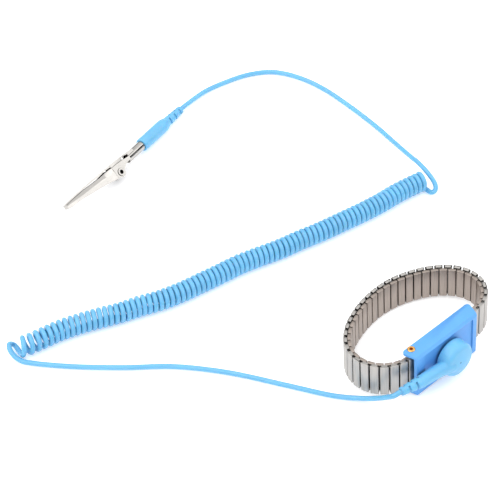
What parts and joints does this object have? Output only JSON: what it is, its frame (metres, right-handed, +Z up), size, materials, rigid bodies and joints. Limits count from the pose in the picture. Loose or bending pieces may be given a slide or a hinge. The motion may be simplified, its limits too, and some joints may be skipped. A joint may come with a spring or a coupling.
{
  "type": "antistatic wrist strap",
  "caption": "Antistatic wrist strap: metal expansion band with a plastic snap housing, coiled cord and a crocodile clip on a banana plug.",
  "frame": {"origin": "on the ground under the middle of the wristband's box, with the free cord and its clip left out", "axes": "+Z up; +Y from the housing's snap through the loop to the band's far side; +X to the right when the snap is seen from the front, along the housing's length"},
  "size_m": [0.2399, 0.2298, 0.0251],
  "materials": {
    "housing_plastic": "moulded light blue plastic, lightly blasted",
    "moulded_cord_plastic": "soft light blue moulding",
    "cord_jacket": "soft light blue jacket, satin",
    "band_steel": "brushed across the band outside, satin inside",
    "plate_steel": "satin, smooth",
    "spring_steel": "drawn wire",
    "nickel_plate": "nickel plate, softly polished",
    "eyelet_brass": "bright brass",
    "resistor_body": "glossy lacquer"
  },
  "bodies": {
    "cord_assembly": {"snap_head": "moulded_cord_plastic", "snap_socket": "nickel_plate", "resistor": "resistor_body", "resistor_leads": "nickel_plate", "cord_lower": "cord_jacket", "cord_coil": "cord_jacket", "cord_upper": "cord_jacket", "plug_handle": "moulded_cord_plastic", "banana_pin": "nickel_plate"},
    "snap_spring_ring": {"socket_spring": "spring_steel"},
    "housing": {"housing_shell": "housing_plastic", "contact_plate": "plate_steel", "snap_stud": "nickel_plate", "stud_eyelet": "nickel_plate", "hinge_eyelet_left": "eyelet_brass", "hinge_pin_right": "spring_steel", "band_end_left": "band_steel", "band_end_right": "band_steel"},
    "link_01": {"band_link_01": "band_steel"},
    "link_02": {"band_link_02": "band_steel"},
    "link_03": {"band_link_03": "band_steel"},
    "link_04": {"band_link_04": "band_steel"},
    "link_05": {"band_link_05": "band_steel"},
    "link_06": {"band_link_06": "band_steel"},
    "link_07": {"band_link_07": "band_steel"},
    "link_08": {"band_link_08": "band_steel"},
    "link_09": {"band_link_09": "band_steel"},
    "link_10": {"band_link_10": "band_steel"},
    "link_11": {"band_link_11": "band_steel"},
    "link_12": {"band_link_12": "band_steel"},
    "link_13": {"band_link_13": "band_steel"},
    "link_14": {"band_link_14": "band_steel"},
    "link_15": {"band_link_15": "band_steel"},
    "link_16": {"band_link_16": "band_steel"},
    "link_17": {"band_link_17": "band_steel"},
    "link_18": {"band_link_18": "band_steel"},
    "link_19": {"band_link_19": "band_steel"},
    "link_20": {"band_link_20": "band_steel"},
    "link_21": {"band_link_21": "band_steel"},
    "link_22": {"band_link_22": "band_steel"},
    "link_23": {"band_link_23": "band_steel"},
    "link_24": {"band_link_24": "band_steel"},
    "link_25": {"band_link_25": "band_steel"},
    "link_26": {"band_link_26": "band_steel"},
    "link_27": {"band_link_27": "band_steel"},
    "link_28": {"band_link_28": "band_steel"},
    "link_29": {"band_link_29": "band_steel"},
    "link_30": {"band_link_30": "band_steel"},
    "link_31": {"band_link_31": "band_steel"},
    "link_32": {"band_link_32": "band_steel"},
    "link_33": {"band_link_33": "band_steel"},
    "link_34": {"band_link_34": "band_steel"},
    "link_35": {"band_link_35": "band_steel"},
    "banana_cage": {"banana_spring": "spring_steel"},
    "clip_lower": {"clip_barrel_jaw": "nickel_plate", "clip_pivot": "nickel_plate", "clip_spring": "spring_steel"},
    "clip_upper": {"clip_upper_jaw": "nickel_plate"}
  },
  "joints": [
    {"name": "snap_swivel", "type": "hinge", "parent": "cord_assembly", "child": "snap_spring_ring", "pos_m": [-0.00125, -0.02327, 0.01288], "axis": [0, -0.9968, 0.0801], "continuous": true},
    {"name": "snap_pull_off", "type": "slide", "parent": "snap_spring_ring", "child": "housing", "axis": [0, 0.9968, -0.0801], "range_m": [0, 0.008], "deforming": ["socket_spring"]},
    {"name": "band_slide_01", "type": "slide", "parent": "housing", "child": "link_01", "axis": [-0.9908, 0.1348, -0.0108], "range_m": [0, 0.00105]},
    {"name": "band_slide_02", "type": "slide", "parent": "housing", "child": "link_02", "axis": [-0.966, 0.2577, -0.0207], "range_m": [0, 0.00186]},
    {"name": "band_slide_03", "type": "slide", "parent": "housing", "child": "link_03", "axis": [-0.9282, 0.371, -0.0298], "range_m": [0, 0.00263]},
    {"name": "band_slide_04", "type": "slide", "parent": "housing", "child": "link_04", "axis": [-0.8778, 0.4774, -0.0383], "range_m": [0, 0.00331]},
    {"name": "band_slide_05", "type": "slide", "parent": "housing", "child": "link_05", "axis": [-0.8165, 0.5755, -0.0462], "range_m": [0, 0.0039]},
    {"name": "band_slide_06", "type": "slide", "parent": "housing", "child": "link_06", "axis": [-0.7471, 0.6626, -0.0532], "range_m": [0, 0.00436]},
    {"name": "band_slide_07", "type": "slide", "parent": "housing", "child": "link_07", "axis": [-0.673, 0.7373, -0.0592], "range_m": [0, 0.00471]},
    {"name": "band_slide_08", "type": "slide", "parent": "housing", "child": "link_08", "axis": [-0.5975, 0.7993, -0.0642], "range_m": [0, 0.00496]},
    {"name": "band_slide_09", "type": "slide", "parent": "housing", "child": "link_09", "axis": [-0.5226, 0.8498, -0.0683], "range_m": [0, 0.00513]},
    {"name": "band_slide_10", "type": "slide", "parent": "housing", "child": "link_10", "axis": [-0.4489, 0.8907, -0.0715], "range_m": [0, 0.00524]},
    {"name": "band_slide_11", "type": "slide", "parent": "housing", "child": "link_11", "axis": [-0.3764, 0.9235, -0.0742], "range_m": [0, 0.00531]},
    {"name": "band_slide_12", "type": "slide", "parent": "housing", "child": "link_12", "axis": [-0.3046, 0.9494, -0.0763], "range_m": [0, 0.00537]},
    {"name": "band_slide_13", "type": "slide", "parent": "housing", "child": "link_13", "axis": [-0.2332, 0.9693, -0.0779], "range_m": [0, 0.00541]},
    {"name": "band_slide_14", "type": "slide", "parent": "housing", "child": "link_14", "axis": [-0.1624, 0.9836, -0.079], "range_m": [0, 0.00546]},
    {"name": "band_slide_15", "type": "slide", "parent": "housing", "child": "link_15", "axis": [-0.0921, 0.9926, -0.0797], "range_m": [0, 0.00551]},
    {"name": "band_slide_16", "type": "slide", "parent": "housing", "child": "link_16", "axis": [-0.0226, 0.9965, -0.08], "range_m": [0, 0.00555]},
    {"name": "band_slide_17", "type": "slide", "parent": "housing", "child": "link_17", "axis": [0.0462, 0.9957, -0.08], "range_m": [0, 0.00559]},
    {"name": "band_expand", "type": "slide", "parent": "housing", "child": "link_18", "axis": [0.1143, 0.9903, -0.0795], "range_m": [0, 0.00542], "stiffness_N_per_m": 40},
    {"name": "band_slide_19", "type": "slide", "parent": "housing", "child": "link_19", "axis": [0.182, 0.9801, -0.0787], "range_m": [0, 0.00564]},
    {"name": "band_slide_20", "type": "slide", "parent": "housing", "child": "link_20", "axis": [0.2493, 0.9653, -0.0775], "range_m": [0, 0.00566]},
    {"name": "band_slide_21", "type": "slide", "parent": "housing", "child": "link_21", "axis": [0.3162, 0.9456, -0.076], "range_m": [0, 0.00566]},
    {"name": "band_slide_22", "type": "slide", "parent": "housing", "child": "link_22", "axis": [0.3827, 0.9209, -0.074], "range_m": [0, 0.00566]},
    {"name": "band_slide_23", "type": "slide", "parent": "housing", "child": "link_23", "axis": [0.4486, 0.8908, -0.0716], "range_m": [0, 0.00566]},
    {"name": "band_slide_24", "type": "slide", "parent": "housing", "child": "link_24", "axis": [0.514, 0.8551, -0.0687], "range_m": [0, 0.00564]},
    {"name": "band_slide_25", "type": "slide", "parent": "housing", "child": "link_25", "axis": [0.5788, 0.8128, -0.0653], "range_m": [0, 0.00562]},
    {"name": "band_slide_26", "type": "slide", "parent": "housing", "child": "link_26", "axis": [0.6435, 0.763, -0.0613], "range_m": [0, 0.00556]},
    {"name": "band_slide_27", "type": "slide", "parent": "housing", "child": "link_27", "axis": [0.708, 0.7039, -0.0565], "range_m": [0, 0.00546]},
    {"name": "band_slide_28", "type": "slide", "parent": "housing", "child": "link_28", "axis": [0.7719, 0.6337, -0.0509], "range_m": [0, 0.00529]},
    {"name": "band_slide_29", "type": "slide", "parent": "housing", "child": "link_29", "axis": [0.8334, 0.5508, -0.0442], "range_m": [0, 0.00502]},
    {"name": "band_slide_30", "type": "slide", "parent": "housing", "child": "link_30", "axis": [0.8895, 0.4555, -0.0366], "range_m": [0, 0.00463]},
    {"name": "band_slide_31", "type": "slide", "parent": "housing", "child": "link_31", "axis": [0.9362, 0.3502, -0.0281], "range_m": [0, 0.00411]},
    {"name": "band_slide_32", "type": "slide", "parent": "housing", "child": "link_32", "axis": [0.9707, 0.2397, -0.0193], "range_m": [0, 0.00346]},
    {"name": "band_slide_33", "type": "slide", "parent": "housing", "child": "link_33", "axis": [0.9914, 0.1305, -0.0105], "range_m": [0, 0.00271]},
    {"name": "band_slide_34", "type": "slide", "parent": "housing", "child": "link_34", "axis": [0.9995, 0.0326, -0.0026], "range_m": [0, 0.0019]},
    {"name": "band_slide_35", "type": "slide", "parent": "housing", "child": "link_35", "axis": [0.9998, -0.0182, 0.0015], "range_m": [0, 0.00105]},
    {"name": "clip_swivel", "type": "hinge", "parent": "cord_assembly", "child": "banana_cage", "pos_m": [-0.00945, 0.18533, 0.00467], "axis": [-0.9705, -0.233, 0.0618], "continuous": true},
    {"name": "clip_pull_off", "type": "slide", "parent": "banana_cage", "child": "clip_lower", "axis": [-0.9705, -0.233, 0.0618], "range_m": [0, 0.014], "deforming": ["banana_spring"]},
    {"name": "clip_open", "type": "hinge", "parent": "clip_lower", "child": "clip_upper", "pos_m": [-0.03153, 0.17807, 0.00433], "axis": [0.2032, -0.6526, 0.73], "range_deg": [0, 20], "stiffness_Nm_per_rad": 0.05, "deforming": ["clip_spring"]}
  ],
  "couplings": [
    {"joint": "band_slide_01", "follows": "band_expand", "ratio": 0.15629},
    {"joint": "band_slide_02", "follows": "band_expand", "ratio": 0.30694},
    {"joint": "band_slide_03", "follows": "band_expand", "ratio": 0.44783},
    {"joint": "band_slide_04", "follows": "band_expand", "ratio": 0.57418},
    {"joint": "band_slide_05", "follows": "band_expand", "ratio": 0.6817},
    {"joint": "band_slide_06", "follows": "band_expand", "ratio": 0.76773},
    {"joint": "band_slide_07", "follows": "band_expand", "ratio": 0.83223},
    {"joint": "band_slide_08", "follows": "band_expand", "ratio": 0.87779},
    {"joint": "band_slide_09", "follows": "band_expand", "ratio": 0.90853},
    {"joint": "band_slide_10", "follows": "band_expand", "ratio": 0.92889},
    {"joint": "band_slide_11", "follows": "band_expand", "ratio": 0.94273},
    {"joint": "band_slide_12", "follows": "band_expand", "ratio": 0.95305},
    {"joint": "band_slide_13", "follows": "band_expand", "ratio": 0.96191},
    {"joint": "band_slide_14", "follows": "band_expand", "ratio": 0.97043},
    {"joint": "band_slide_15", "follows": "band_expand", "ratio": 0.9789},
    {"joint": "band_slide_16", "follows": "band_expand", "ratio": 0.98702},
    {"joint": "band_slide_17", "follows": "band_expand", "ratio": 0.99423},
    {"joint": "band_slide_19", "follows": "band_expand", "ratio": 1.004},
    {"joint": "band_slide_20", "follows": "band_expand", "ratio": 1.0064},
    {"joint": "band_slide_21", "follows": "band_expand", "ratio": 1.0075},
    {"joint": "band_slide_22", "follows": "band_expand", "ratio": 1.0076},
    {"joint": "band_slide_23", "follows": "band_expand", "ratio": 1.0067},
    {"joint": "band_slide_24", "follows": "band_expand", "ratio": 1.0045},
    {"joint": "band_slide_25", "follows": "band_expand", "ratio": 0.99958},
    {"joint": "band_slide_26", "follows": "band_expand", "ratio": 0.98953},
    {"joint": "band_slide_27", "follows": "band_expand", "ratio": 0.9709},
    {"joint": "band_slide_28", "follows": "band_expand", "ratio": 0.93916},
    {"joint": "band_slide_29", "follows": "band_expand", "ratio": 0.88928},
    {"joint": "band_slide_30", "follows": "band_expand", "ratio": 0.81698},
    {"joint": "band_slide_31", "follows": "band_expand", "ratio": 0.72038},
    {"joint": "band_slide_32", "follows": "band_expand", "ratio": 0.60098},
    {"joint": "band_slide_33", "follows": "band_expand", "ratio": 0.46325},
    {"joint": "band_slide_34", "follows": "band_expand", "ratio": 0.31314},
    {"joint": "band_slide_35", "follows": "band_expand", "ratio": 0.1568}
  ]
}
